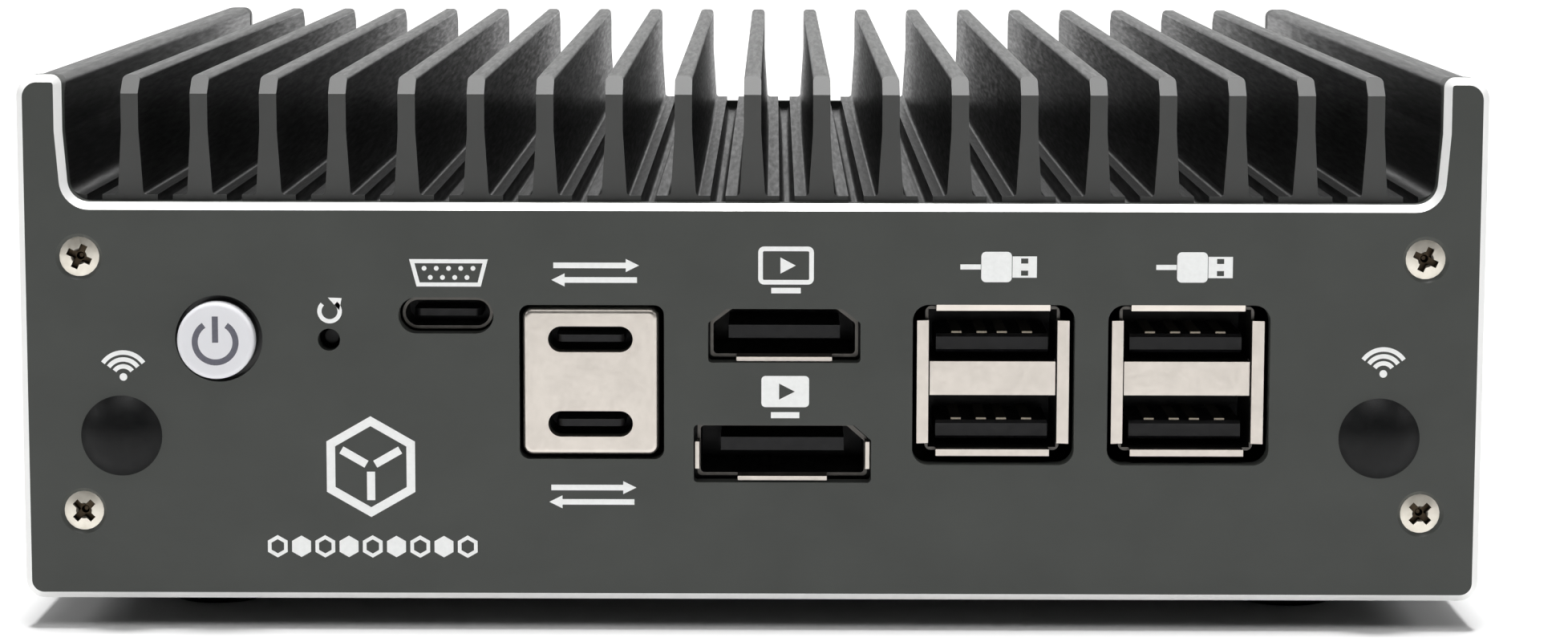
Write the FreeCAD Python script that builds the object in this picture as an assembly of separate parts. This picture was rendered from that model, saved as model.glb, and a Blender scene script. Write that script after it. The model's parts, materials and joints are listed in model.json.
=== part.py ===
"""Fanless finned mini computer, built as an assembly of separate solids.

Millimetres. X is the width, the front faces -Y, Z is up, z = 0 is the floor under the feet.
The mainboard hangs upside down under the heat sink, so every connector hangs below it.
"""
import FreeCAD
import Part
import math
import os

Vector = FreeCAD.Vector
os.makedirs("parts", exist_ok=True)

# ---- overall size -------------------------------------------------------------------
WIDTH = 144.0
HEIGHT = 55.0
DEPTH = 127.0
PLATE = 2.0
BEVEL = 0.7
PLATE_BOTTOM = 3.0
REAR_HEIGHT = 54.75
PLATE_CORNER = 1.9
HALF_W = WIDTH / 2
FACE_Y = DEPTH / 2
CASE_Y = FACE_Y - PLATE

# ---- heat sink ----------------------------------------------------------------------
FIN_COUNT = 19
FIN_PITCH = 6.8
FIN_HALF = 0.85
FIN_ROOT_HALF = 1.25
FIN_TOP = 54.8
FIN_FLARE = 49.5
FLOOR_Z = 43.1
SLAB_Z = 39.1
GROOVE_HALF = 0.75
GROOVE_Z = 41.5
CASE_HALF = 71.8
WALL_IN = 68.8
CASE_BOTTOM = 3.4
CASE_CORNER = 1.6
HORN_TOP_IN = 67.6
HORN_ROOT_IN = 67.05
FIN_CORNER = 1.75
BOSS_IN = 62.9
BOSS_UP_Z = 33.9
BOSS_LOW_Z = 15.2

# ---- plate notch --------------------------------------------------------------------
NOTCH_TOP = 67.55
NOTCH_ROOT = 67.0
NOTCH_Z = 42.5

# ---- screws -------------------------------------------------------------------------
SCREW_X = 66.05
SCREW_Z = (37.15, 11.85)
SCREW_TURNS = (25, 45)
SCREW_R = 1.25
SCREW_HOLE_R = 1.4
TAP_R = 1.3
HEAD_R = 1.95
SINK_R = 2.3
SCREW_LENGTH = 9.0
TAP_DEPTH = 12.0

# ---- bottom cover and feet ----------------------------------------------------------
COVER_TOP = 5.4
COVER_HALF_X = 68.6
COVER_HALF_Y = 61.3
COVER_SCREW = (65.9, 50.0)
COVER_TAP_TOP = 10.2
BRACKET_HALF = 37.5
BRACKET_R = 1.5
FOOT = (55.0, 47.0)
FOOT_R = 6.0
FOOT_TOE_R = 5.4
FOOT_STEM_R = 2.0
FOOT_HEAD_R = 2.7

# ---- front controls and ports (x, z of each centre) ---------------------------------
PLUG_X = (-62.15, 61.8)
PLUG_Z = 19.4
PLUG_R = 4.0
PLUG_NECK_R = 3.2
PLUG_RISE = 1.6
POWER = (-52.6, 29.0)
POWER_HOLE = (-52.42, 29.08)
POWER_HOLE_R = 4.3
POWER_R = 3.8
POWER_RISE = 1.2
RESET = (-41.6, 29.0)
RESET_HOLE_R = 1.1
RESET_R = 0.9
SERIAL = (-30.08, 31.42)
SLIM_PAIR_X = -15.9
SLIM_PAIR_Z = (29.08, 20.66)
SLIM_CAN = (-22.59, -9.19, 17.55, 32.17)
SLIM_CAN_R = 1.0
SLIM_W = 8.34
SLIM_H = 2.56
SLIM_WALL = 0.3
TONGUE_W = 6.7
TONGUE_T = 0.7
VIDEO_UP = (3.17, 29.6)
VIDEO_LOW = (3.0, 17.85)
DATA_X = (23.76, 42.96)
DATA_Z = (26.75, 18.07)
DATA_W = 12.7
DATA_H = (5.12, 5.32)
DATA_CUT = (15.95, 16.65, 32.6)

# ---- rear ports ---------------------------------------------------------------------
LAN_X = (27.0, 9.0, -9.0, -27.0)
LAN_W = 15.9
LAN_Z = (19.7, 33.1)
LAN_FRONT = 62.5
LAN_BACK = 41.5
LAN_WALL = 0.35
POWER_IN = (46.0, 27.5)
BARREL_R = 4.0
BARREL_BORE_R = 2.85
PIN_R = 1.25

# ---- mainboard ----------------------------------------------------------------------
BOARD = (62.0, 59.5)
BOARD_Z = (33.1, 34.7)
STANDOFF = (57.0, 46.0)
MEMORY_X = -23.0
MEMORY_Z = 30.0


# ---- shape helpers ------------------------------------------------------------------
def box(x0, x1, y0, y1, z0, z1):
    return Part.makeBox(x1 - x0, y1 - y0, z1 - z0, Vector(x0, y0, z0))


def rod(x, z, radius, y0, y1):
    return Part.makeCylinder(radius, y1 - y0, Vector(x, y0, z), Vector(0, 1, 0))


def cone(x, z, r0, r1, y0, y1):
    return Part.makeCone(r0, r1, y1 - y0, Vector(x, y0, z), Vector(0, 1, 0))


def post(x, y, radius, z0, z1):
    return Part.makeCylinder(radius, z1 - z0, Vector(x, y, z0))


def post_cone(x, y, r0, r1, z0, z1):
    return Part.makeCone(r0, r1, z1 - z0, Vector(x, y, z0))


def join(shapes):
    return shapes[0].multiFuse(shapes[1:]).removeSplitter()


def rounded_wire(corners, y):
    """Closed wire in the plane at y; each corner is (x, z, radius)."""
    points = [Vector(x, y, z) for x, z, radius in corners]
    entries, exits, arcs = [], [], []
    for i, point in enumerate(points):
        radius = corners[i][2]
        if not radius:
            entries.append(point)
            exits.append(point)
            arcs.append(None)
            continue
        back = (points[i - 1] - point).normalize()
        ahead = (points[(i + 1) % len(points)] - point).normalize()
        half = back.getAngle(ahead) / 2
        reach = radius / math.tan(half)
        middle_way = (back + ahead).normalize()
        centre = point + middle_way * (radius / math.sin(half))
        entries.append(point + back * reach)
        exits.append(point + ahead * reach)
        arcs.append(Part.Arc(entries[-1], centre - middle_way * radius, exits[-1]).toShape())
    edges = []
    for i, arc in enumerate(arcs):
        if arc:
            edges.append(arc)
        following = entries[(i + 1) % len(points)]
        if exits[i].distanceToPoint(following) > 1e-6:
            edges.append(Part.makeLine(exits[i], following))
    return Part.Wire(edges)


def swept(wire, travel):
    """Solid swept from a closed wire, its faces turned outwards."""
    solid = Part.Face(wire).extrude(travel)
    if solid.Volume < 0:
        solid.reverse()
    return solid


def prism(corners, y0, y1):
    return swept(rounded_wire(corners, y0), Vector(0, y1 - y0, 0))


def bar(x0, x1, z0, z1, radius, y0, y1):
    corners = [(x0, z0, radius), (x1, z0, radius), (x1, z1, radius), (x0, z1, radius)]
    return prism(corners, y0, y1)


def dome(x, z, radius, rise, base_y):
    """Shallow cap bulging towards -Y from a disc of the given radius at base_y."""
    ball_r = (radius ** 2 + rise ** 2) / (2 * rise)
    ball = Part.makeSphere(ball_r, Vector(x, base_y - rise + ball_r, z))
    return ball.common(box(x - ball_r, x + ball_r, base_y - 2 * rise, base_y, z - ball_r, z + ball_r))


def oval(x, z, width, height, y0, y1):
    half = width / 2 - height / 2
    body = box(x - half, x + half, y0, y1, z - height / 2, z + height / 2)
    ends = [rod(x + side * half, z, height / 2, y0, y1) for side in (-1, 1)]
    return join([body] + ends)


def side_profile(points, x0, x1):
    """Prism along X from (y, z) points."""
    ring = [Vector(x0, y, z) for y, z in points]
    return swept(Part.makePolygon(ring + ring[:1]), Vector(x1 - x0, 0, 0))


def plan_profile(points, z0, z1):
    """Prism along Z from (x, y) points."""
    ring = [Vector(x, y, z0) for x, y in points]
    return swept(Part.makePolygon(ring + ring[:1]), Vector(0, 0, z1 - z0))


def hexagon(x, z, across, y0, y1):
    radius = across / math.sqrt(3)
    turns = [math.radians(60 * i) for i in range(6)]
    corners = [(x + radius * math.cos(t), z + radius * math.sin(t), 0) for t in turns]
    return prism(corners, y0, y1)


def turned(shape):
    """The same piece at the rear: half a turn about the vertical axis."""
    copy = shape.copy()
    copy.rotate(Vector(0, 0, 0), Vector(0, 0, 1), 180)
    return copy


def save(node, shapes):
    solids = shapes if isinstance(shapes, list) else [shapes]
    body = solids[0] if len(solids) == 1 else Part.makeCompound(solids)
    body.exportStep("parts/" + node + ".step")


# ---- cross-recess countersunk screws ------------------------------------------------
def cross_recess_y(x, z, y):
    reach, half, deep = 1.25, 0.34, 0.95
    slots = [box(x - reach, x + reach, y - 1, y + deep, z - half, z + half),
             box(x - half, x + half, y - 1, y + deep, z - reach, z + reach)]
    return join(slots + [cone(x, z, 0.8, 0.2, y, y + 1.4)])


def plate_screw(x, z, turn):
    top = -FACE_Y + SINK_R - HEAD_R
    seat = -FACE_Y + SINK_R - SCREW_HOLE_R
    rise = 0.25
    shank = rod(x, z, SCREW_R, seat, seat + SCREW_LENGTH)
    tip = cone(x, z, SCREW_R, 0.7, seat + SCREW_LENGTH, seat + SCREW_LENGTH + 0.6)
    crown = dome(x, z, HEAD_R, rise, top)
    body = join([crown, cone(x, z, HEAD_R, SCREW_HOLE_R, top, seat), shank, tip])
    body = body.cut(cross_recess_y(x, z, top - rise))
    body.rotate(Vector(x, 0, z), Vector(0, 1, 0), turn)
    return body


def plate_screw_hole(x, z):
    sink = cone(x, z, SINK_R, SCREW_HOLE_R, -FACE_Y, -FACE_Y + SINK_R - SCREW_HOLE_R)
    return join([sink, rod(x, z, SCREW_HOLE_R, -FACE_Y, -CASE_Y + 0.5)])


def upright_screw(x, y, head_z, head_r, shank_r, head_h, top_z, sunk):
    """Screw driven upwards; its head's lower face is at head_z."""
    if sunk:
        head = post_cone(x, y, head_r, shank_r, head_z, head_z + head_h)
    else:
        head = post(x, y, head_r, head_z, head_z + head_h)
    shank = post(x, y, shank_r, head_z + head_h, top_z)
    reach, half, deep = head_r * 0.6, 0.3, 0.7
    slots = [box(x - reach, x + reach, y - half, y + half, head_z, head_z + deep),
             box(x - half, x + half, y - reach, y + reach, head_z, head_z + deep)]
    return join([head, shank]).cut(join(slots))


# ---- front and rear plates ----------------------------------------------------------
def plate_blank(top):
    half = [(HALF_W, PLATE_BOTTOM, PLATE_CORNER), (HALF_W, top, 2.2), (NOTCH_TOP, top, 1.0),
            (NOTCH_TOP, FIN_FLARE, 3.0), (NOTCH_ROOT, NOTCH_Z, 2.2)]
    mirrored = [(-x, z, radius) for x, z, radius in reversed(half)]
    blank = prism(half + mirrored, -FACE_Y, -CASE_Y)
    rim = [e for e in blank.Edges if e.BoundBox.YMax < -FACE_Y + 1e-4]
    blank = blank.makeChamfer(BEVEL, rim)
    holes = [plate_screw_hole(side * SCREW_X, z) for side in (-1, 1) for z in SCREW_Z]
    holes += [rod(x, PLUG_Z, PLUG_NECK_R + 0.05, -FACE_Y - 1, -CASE_Y + 1) for x in PLUG_X]
    return blank.cut(holes)


def video_up_outline(grow, bottom, top_grow=None):
    x, z = VIDEO_UP
    half = 7.0 + grow
    top = z + 2.25 + (grow if top_grow is None else top_grow)
    cut_x, cut_z = 1.8, 1.4
    return [(x - half, bottom, 0.4), (x + half, bottom, 0.4), (x + half, top - cut_z, 0.4),
            (x + half - cut_x, top, 0.4), (x - half + cut_x, top, 0.4), (x - half, top - cut_z, 0.4)]


def video_low_outline(grow, top_grow=None):
    x, z = VIDEO_LOW
    half = 8.1 + grow
    bottom = z - 2.35 - grow
    top = z + 2.35 + (grow if top_grow is None else top_grow)
    cut_x, cut_z = 1.7, 1.5
    return [(x - half, bottom, 0.4), (x + half, bottom, 0.4), (x + half, top - cut_z, 0.3),
            (x + half - cut_x, top, 0.3), (x - half, top, 0.4)]


FRONT, BACK = -FACE_Y - 1, -CASE_Y + 1
front_holes = [
    rod(POWER_HOLE[0], POWER_HOLE[1], POWER_HOLE_R, FRONT, BACK),
    rod(RESET[0], RESET[1], RESET_HOLE_R, FRONT, BACK),
    oval(SERIAL[0], SERIAL[1], 9.35, 3.58, FRONT, BACK),
    bar(-22.9, -8.65, 17.15, 32.5, 1.0, FRONT, BACK),
    prism(video_up_outline(0.5, 26.8, 0.3), FRONT, BACK),
    prism(video_low_outline(0.65, 0.4), FRONT, BACK),
]
for centre in DATA_X:
    half_cut = DATA_CUT[0] / 2
    front_holes.append(bar(centre - half_cut, centre + half_cut, DATA_CUT[1], DATA_CUT[2],
                           1.6, FRONT, BACK))
save("front_plate", plate_blank(HEIGHT).cut(front_holes))

rear_holes = [rod(POWER_IN[0], POWER_IN[1], BARREL_R + 0.1, CASE_Y - 1, FACE_Y + 1)]
for centre in LAN_X:
    half_cut = LAN_W / 2 + 0.15
    rear_holes.append(bar(centre - half_cut, centre + half_cut, LAN_Z[0] - 0.15,
                          LAN_Z[1] + 0.15, 0.4, CASE_Y - 1, FACE_Y + 1))
save("rear_plate", turned(plate_blank(REAR_HEIGHT)).cut(rear_holes))

screws = [plate_screw(side * SCREW_X, z, turn) for side in (-1, 1)
          for z, turn in zip(SCREW_Z, SCREW_TURNS)]
save("front_plate_screws", screws)
save("rear_plate_screws", [turned(s) for s in screws])


# ---- heat sink body -----------------------------------------------------------------
def heatsink_corners():
    """Cross-section of the extrusion, walked once round."""
    span = (FIN_COUNT - 1) / 2
    fins = [FIN_PITCH * (i - span) for i in range(FIN_COUNT)]
    outline = [(-CASE_HALF, CASE_BOTTOM, CASE_CORNER), (-CASE_HALF, FIN_TOP, 2.0),
               (-HORN_TOP_IN, FIN_TOP, 0.8), (-HORN_TOP_IN, FIN_FLARE, 3.0),
               (-HORN_ROOT_IN, FLOOR_Z, 1.3)]
    channels = [(fins[0] - FIN_ROOT_HALF - HORN_ROOT_IN) / 2]
    channels += [(a + b) / 2 for a, b in zip(fins, fins[1:])]
    channels.append(-channels[0])
    for fin, channel in zip(fins, channels):
        outline += groove_corners(channel)
        outline += [(fin - FIN_ROOT_HALF, FLOOR_Z, 0.4), (fin - FIN_HALF, FIN_FLARE, 6.0),
                    (fin - FIN_HALF, FIN_TOP, 0.5), (fin + FIN_HALF, FIN_TOP, 0.5),
                    (fin + FIN_HALF, FIN_FLARE, 6.0), (fin + FIN_ROOT_HALF, FLOOR_Z, 0.4)]
    outline += groove_corners(channels[-1])
    outline += [(HORN_ROOT_IN, FLOOR_Z, 1.3), (HORN_TOP_IN, FIN_FLARE, 3.0),
                (HORN_TOP_IN, FIN_TOP, 0.8), (CASE_HALF, FIN_TOP, 2.0),
                (CASE_HALF, CASE_BOTTOM, CASE_CORNER)]
    inner = [(WALL_IN, CASE_BOTTOM, 0), (WALL_IN, COVER_TOP, 0), (BOSS_IN, COVER_TOP, 0),
             (BOSS_IN, BOSS_LOW_Z, 0.5), (WALL_IN, BOSS_LOW_Z, 0.5), (WALL_IN, BOSS_UP_Z, 0.5),
             (BOSS_IN, BOSS_UP_Z, 0.5), (BOSS_IN, SLAB_Z, 0)]
    return outline + inner + [(-x, z, radius) for x, z, radius in reversed(inner)]


def groove_corners(x):
    return [(x - GROOVE_HALF, FLOOR_Z, 0), (x - GROOVE_HALF, GROOVE_Z, 0.6),
            (x + GROOVE_HALF, GROOVE_Z, 0.6), (x + GROOVE_HALF, FLOOR_Z, 0)]


heatsink = prism(heatsink_corners(), -CASE_Y, CASE_Y)
nose = side_profile([(-CASE_Y - 1, FIN_TOP - FIN_CORNER - 1), (-CASE_Y - 1, FIN_TOP + 1),
                     (-CASE_Y + FIN_CORNER + 1, FIN_TOP + 1)], -HORN_ROOT_IN, HORN_ROOT_IN)
heatsink_cuts = [nose, turned(nose)]
for side in (-1, 1):
    for z in SCREW_Z:
        tap = rod(side * SCREW_X, z, TAP_R, -CASE_Y - 1, -CASE_Y + TAP_DEPTH)
        heatsink_cuts += [tap, turned(tap)]
    for end in (-1, 1):
        heatsink_cuts.append(post(side * COVER_SCREW[0], end * COVER_SCREW[1], TAP_R,
                                  COVER_TOP - 1, COVER_TAP_TOP))
        heatsink_cuts.append(post(side * STANDOFF[0], end * STANDOFF[1], TAP_R,
                                  SLAB_Z - 1, SLAB_Z + 2.0))
save("heatsink_case", heatsink.cut(heatsink_cuts))

# ---- bottom cover, its screws and the feet ------------------------------------------
corners = [(sx, sy) for sx in (-1, 1) for sy in (-1, 1)]
cover = box(-COVER_HALF_X, COVER_HALF_X, -COVER_HALF_Y, COVER_HALF_Y, CASE_BOTTOM, COVER_TOP)
cover = cover.makeFillet(1.5, [e for e in cover.Edges if e.BoundBox.ZLength > 1])
cover_holes = []
cover_screws = []
feet = []
for sx, sy in corners:
    x, y = sx * COVER_SCREW[0], sy * COVER_SCREW[1]
    cover_holes.append(post_cone(x, y, 2.5, SCREW_HOLE_R, CASE_BOTTOM, CASE_BOTTOM + 1.1))
    cover_holes.append(post(x, y, SCREW_HOLE_R, CASE_BOTTOM, COVER_TOP + 1))
    cover_holes.append(post(sx * BRACKET_HALF, sy * BRACKET_HALF, BRACKET_R,
                            CASE_BOTTOM - 1, COVER_TOP + 1))
    cover_screws.append(upright_screw(x, y, CASE_BOTTOM + 0.2, 2.3, SCREW_R, 1.05,
                                      COVER_TAP_TOP - 0.6, True))
    x, y = sx * FOOT[0], sy * FOOT[1]
    cover_holes.append(post(x, y, FOOT_STEM_R + 0.05, CASE_BOTTOM - 1, COVER_TOP + 1))
    pad = post_cone(x, y, FOOT_TOE_R, FOOT_R, 0, CASE_BOTTOM)
    pad = pad.makeFillet(0.5, [e for e in pad.Edges if e.BoundBox.ZMax < 0.01])
    feet.append(join([pad, post(x, y, FOOT_STEM_R, CASE_BOTTOM, COVER_TOP),
                      post_cone(x, y, FOOT_HEAD_R, 1.4, COVER_TOP, COVER_TOP + 1.6)]))
save("bottom_cover", cover.cut(cover_holes))
save("bottom_cover_screws", cover_screws)
save("rubber_feet", feet)


# ---- antenna hole plugs -------------------------------------------------------------
def antenna_plug(x):
    crown = dome(x, PLUG_Z, PLUG_R, PLUG_RISE, -FACE_Y)
    neck = rod(x, PLUG_Z, PLUG_NECK_R, -FACE_Y, -CASE_Y)
    lip = cone(x, PLUG_Z, 3.8, 2.6, -CASE_Y, -CASE_Y + 1.8)
    hollow = rod(x, PLUG_Z, 1.8, -FACE_Y + 0.4, -CASE_Y + 1.8)
    return join([crown, neck, lip]).cut(hollow)


plug_left, plug_right = [antenna_plug(x) for x in PLUG_X]
save("antenna_plug_front_left", plug_left)
save("antenna_plug_front_right", plug_right)
save("antenna_plug_rear_left", turned(plug_right))
save("antenna_plug_rear_right", turned(plug_left))

# ---- power button -------------------------------------------------------------------
px, pz = POWER
CAP_FRONT = -FACE_Y - POWER_RISE
FLANGE_FRONT = -CASE_Y + 0.05
FLANGE_BACK = -CASE_Y + 1.0
FLANGE_R = 4.9
STEM_BACK = -55.5
SWITCH_FRONT = -58.0
INLAY = 0.2
cap = rod(px, pz, POWER_R, CAP_FRONT, FLANGE_FRONT)
cap = cap.makeFillet(0.45, [e for e in cap.Edges if e.BoundBox.YMax < CAP_FRONT + 0.01])
cap = join([cap, rod(px, pz, FLANGE_R, FLANGE_FRONT, FLANGE_BACK),
            rod(px, pz, 1.5, FLANGE_BACK, STEM_BACK)])


def power_symbol():
    ring_out, ring_in, half_bar = 2.3, 1.7, 0.3
    ring = rod(px, pz - 0.1, ring_out, CAP_FRONT, CAP_FRONT + INLAY)
    ring = ring.cut(rod(px, pz - 0.1, ring_in, CAP_FRONT - 1, CAP_FRONT + 1))
    gap = side_gap(ring_out + 1)
    bar_shape = box(px - half_bar, px + half_bar, CAP_FRONT, CAP_FRONT + INLAY, pz - 0.15, pz + 2.45)
    return [ring.cut(gap), bar_shape]


def side_gap(reach):
    spread = reach * math.tan(math.radians(35))
    return prism([(px, pz, 0), (px + spread, pz + reach, 0), (px - spread, pz + reach, 0)],
                 CAP_FRONT - 1, CAP_FRONT + 1)


symbol = power_symbol()
save("power_button_cap", cap.cut(symbol))
save("power_button_symbol", symbol)

SPRING_TURNS, SPRING_WIRE_R, SPRING_R = 3, 0.2, 2.4
SPRING_STEPS, WIRE_SIDES = 24, 10


def coil_spring(x, z, y0, y1):
    """Compression spring along Y, drawn from wire whose section has WIRE_SIDES sides."""
    first, last = y0 + SPRING_WIRE_R, y1 - SPRING_WIRE_R
    points = []
    for i in range(SPRING_TURNS * SPRING_STEPS + 1):
        turn = i / SPRING_STEPS
        angle = 2 * math.pi * turn
        points.append(Vector(x + SPRING_R * math.cos(angle),
                             first + (last - first) * turn / SPRING_TURNS,
                             z + SPRING_R * math.sin(angle)))
    line = Part.BSplineCurve()
    line.interpolate(points)
    path = line.toShape()
    facing = FreeCAD.Rotation(Vector(0, 0, 1), path.tangentAt(path.FirstParameter))
    section = []
    for i in range(WIRE_SIDES + 1):
        angle = 2 * math.pi * (i % WIRE_SIDES) / WIRE_SIDES
        spoke = Vector(SPRING_WIRE_R * math.cos(angle), SPRING_WIRE_R * math.sin(angle), 0)
        section.append(points[0] + facing.multVec(spoke))
    return Part.Wire(path).makePipeShell([Part.makePolygon(section)], True, True)


save("power_button_spring", coil_spring(px, pz, FLANGE_BACK, SWITCH_FRONT))

switch = box(px - 4, px + 4, SWITCH_FRONT, SWITCH_FRONT + 6, pz - 4.1, BOARD_Z[0])
switch = switch.makeChamfer(0.4, [e for e in switch.Edges if e.BoundBox.ZMax < pz])
save("power_switch_body", switch.cut(rod(px, pz, 1.58, SWITCH_FRONT - 1, SWITCH_FRONT + 4)))

# ---- reset button behind its pinhole ------------------------------------------------
rx, rz = RESET
plunger = rod(rx, rz, RESET_R, -60.9, -57.0)
plunger = plunger.makeFillet(0.25, [e for e in plunger.Edges if e.BoundBox.YMax < -60.8])
reset_body = box(rx - 2.25, rx + 2.25, -58.5, -54.5, rz - 2.0, BOARD_Z[0])
save("reset_plunger", plunger)
save("reset_switch_body", reset_body.cut(rod(rx, rz, RESET_R + 0.06, -59.5, -56.5)))


# ---- slim oval ports ----------------------------------------------------------------
def slim_tongue(x, z, front, back):
    blade = box(x - TONGUE_W / 2, x + TONGUE_W / 2, front, back, z - TONGUE_T / 2, z + TONGUE_T / 2)
    nose_edges = [e for e in blade.Edges if e.BoundBox.YMax < front + 0.01 and e.Length < 1]
    blade = blade.makeFillet(0.8, nose_edges)
    return join([blade, oval(x, z, SLIM_W, SLIM_H, back, back + 1.5)])


SERIAL_FRONT, SERIAL_BACK = -61.4, -55.5
shell = oval(SERIAL[0], SERIAL[1], SLIM_W + 2 * SLIM_WALL, SLIM_H + 2 * SLIM_WALL,
             SERIAL_FRONT, SERIAL_BACK)
shell = shell.cut(oval(SERIAL[0], SERIAL[1], SLIM_W, SLIM_H, SERIAL_FRONT - 1, SERIAL_BACK + 1))
shell_top = SERIAL[1] + SLIM_H / 2 + SLIM_WALL / 2
shell = join([shell, box(SERIAL[0] - 3, SERIAL[0] + 3, -59.3, -56, shell_top, BOARD_Z[0])])
save("serial_port_shell", shell)
save("serial_port_tongue", slim_tongue(SERIAL[0], SERIAL[1], -61.0, -57.0))

cx0, cx1, cz0, cz1 = SLIM_CAN
CAN_FRONT, CAN_BACK = -63.4, -50.0
can = bar(cx0, cx1, cz0, cz1, SLIM_CAN_R, CAN_FRONT, CAN_BACK)
can = can.makeFillet(0.55, [e for e in can.Edges if e.BoundBox.YMax < CAN_FRONT + 0.01])
can = can.cut([oval(SLIM_PAIR_X, z, SLIM_W, SLIM_H, CAN_FRONT - 1, -56.0) for z in SLIM_PAIR_Z])
can = join([can, box(cx0 + 1, cx1 - 1, -58, CAN_BACK, cz1, BOARD_Z[0])])
save("usb_c_shell", can)
save("usb_c_insulator", [slim_tongue(SLIM_PAIR_X, z, -62.6, -57.5) for z in SLIM_PAIR_Z])

# ---- the two video ports ------------------------------------------------------------
VIDEO_FRONT, VIDEO_BACK = -61.4, -52.0
LIP_FRONT, LIP_THICK = -63.0, 0.42
HOUSING_FRONT, HOUSING_BACK = -60.5, -44.0
VIDEO_WALL = 0.3
UP_FLOOR = VIDEO_UP[1] - 2.2


def lip(half, flare, z, thick, x):
    """Flared lip under a port: leaves the shell at z and falls by flare."""
    root = VIDEO_FRONT + 0.5
    points = [(root, z), (LIP_FRONT, z - flare), (LIP_FRONT, z - flare + thick), (root, z + thick)]
    return side_profile(points, x - half, x + half)


up_outer = prism(video_up_outline(VIDEO_WALL, UP_FLOOR - VIDEO_WALL), VIDEO_FRONT, VIDEO_BACK)
up_inner = prism(video_up_outline(0, UP_FLOOR), VIDEO_FRONT - 1, VIDEO_BACK + 1)
up_shell = up_outer.cut(up_inner)
up_lip = lip(4.7, 0.2, UP_FLOOR - VIDEO_WALL, LIP_THICK, VIDEO_UP[0])
save("video_upper_shell", join([up_shell, up_lip]))

low_outer = prism(video_low_outline(VIDEO_WALL), VIDEO_FRONT, VIDEO_BACK)
low_inner = prism(video_low_outline(0), VIDEO_FRONT - 1, VIDEO_BACK + 1)
low_floor = VIDEO_LOW[1] - 2.35
low_pieces = [low_outer.cut(low_inner),
              lip(4.4, 0.2, low_floor - VIDEO_WALL, LIP_THICK, VIDEO_LOW[0])]
for side in (-1, 1):
    wall = VIDEO_LOW[0] + side * 8.1
    outward = [(wall, VIDEO_FRONT + 0.5), (wall + side * 0.1, LIP_FRONT),
               (wall + side * 0.5, LIP_FRONT), (wall + side * VIDEO_WALL, VIDEO_FRONT + 0.5)]
    low_pieces.append(plan_profile(outward, VIDEO_LOW[1] - 1.7, VIDEO_LOW[1] + 1.0))
save("video_lower_shell", join(low_pieces))

housing = box(-6.1, 12.2, HOUSING_FRONT, HOUSING_BACK, 14.5, BOARD_Z[0])
housing = housing.cut([prism(video_up_outline(VIDEO_WALL, UP_FLOOR - VIDEO_WALL), FRONT, VIDEO_BACK),
                       prism(video_low_outline(VIDEO_WALL), FRONT, VIDEO_BACK)])
up_tongue = box(VIDEO_UP[0] - 5.5, VIDEO_UP[0] + 5.5, -60.9, VIDEO_BACK + 1,
                VIDEO_UP[1] - 0.7, VIDEO_UP[1] + 0.6)
low_tongue = box(VIDEO_LOW[0] - 6.1, VIDEO_LOW[0] + 6.1, -60.9, VIDEO_BACK + 1,
                 VIDEO_LOW[1] - 0.2, VIDEO_LOW[1] + 1.1)
save("video_housing", join([housing, up_tongue, low_tongue]))

# ---- stacked rectangular data ports -------------------------------------------------
DATA_FRONT, DATA_BACK, DATA_POCKET = -61.2, -45.0, -52.0
WEB_FRONT, WEB_GAP = -61.9, 0.15
FLARE_FRONT = -62.6
DATA_WALL = 0.3
TONGUE_HALF, TONGUE_LIFT, TONGUE_THICK = 5.55, 0.7, 1.84
CONTACT_X = (-3.5, -1.0, 1.0, 3.5)


def data_shell(x):
    half = DATA_W / 2
    low, high = DATA_Z[1], DATA_Z[0] + DATA_H[0]
    web0, web1 = DATA_Z[1] + DATA_H[1], DATA_Z[0]
    tube = bar(x - half - DATA_WALL, x + half + DATA_WALL, low - DATA_WALL, high + DATA_WALL,
               0.6, DATA_FRONT, DATA_BACK)
    tube = tube.cut(box(x - half, x + half, DATA_FRONT - 1, DATA_BACK + 1, low, high))
    web = box(x - half, x + half, -60.0, DATA_POCKET, web0, web1)
    face = box(x - half + WEB_GAP, x + half - WEB_GAP, WEB_FRONT, -60.0, web0, web1)
    pieces = [tube, web, face, box(x - 5, x + 5, -58, -46, high + DATA_WALL / 2, BOARD_Z[0])]
    for side in (-1, 1):
        wall = x + side * half
        flare = [(wall, -60.9), (wall, FLARE_FRONT + 0.25), (wall + side * 1.15, FLARE_FRONT),
                 (wall + side * 1.15, FLARE_FRONT + 0.3), (wall + side * DATA_WALL, FLARE_FRONT + 0.5),
                 (wall + side * DATA_WALL, -60.9)]
        pieces.append(plan_profile(flare, 18.65, 30.9))
        clip = [(-59.5, low), (-57.8, low + 0.45), (-56.8, low + 0.45), (-55.5, low)]
        pieces.append(side_profile(clip, x + side * 3.1 - 0.95, x + side * 3.1 + 0.95))
    for z, way, lean in ((low, -1, 0.0), (high, 1, 0.15)):
        flare = [(-60.9, z), (FLARE_FRONT + lean, z), (FLARE_FRONT, z + way * 0.66),
                 (FLARE_FRONT + 0.3, z + way * 0.66), (FLARE_FRONT + 0.5, z + way * DATA_WALL),
                 (-60.9, z + way * DATA_WALL)]
        pieces.append(side_profile(flare, x - 5.6, x + 5.6))
    return join(pieces)


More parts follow.
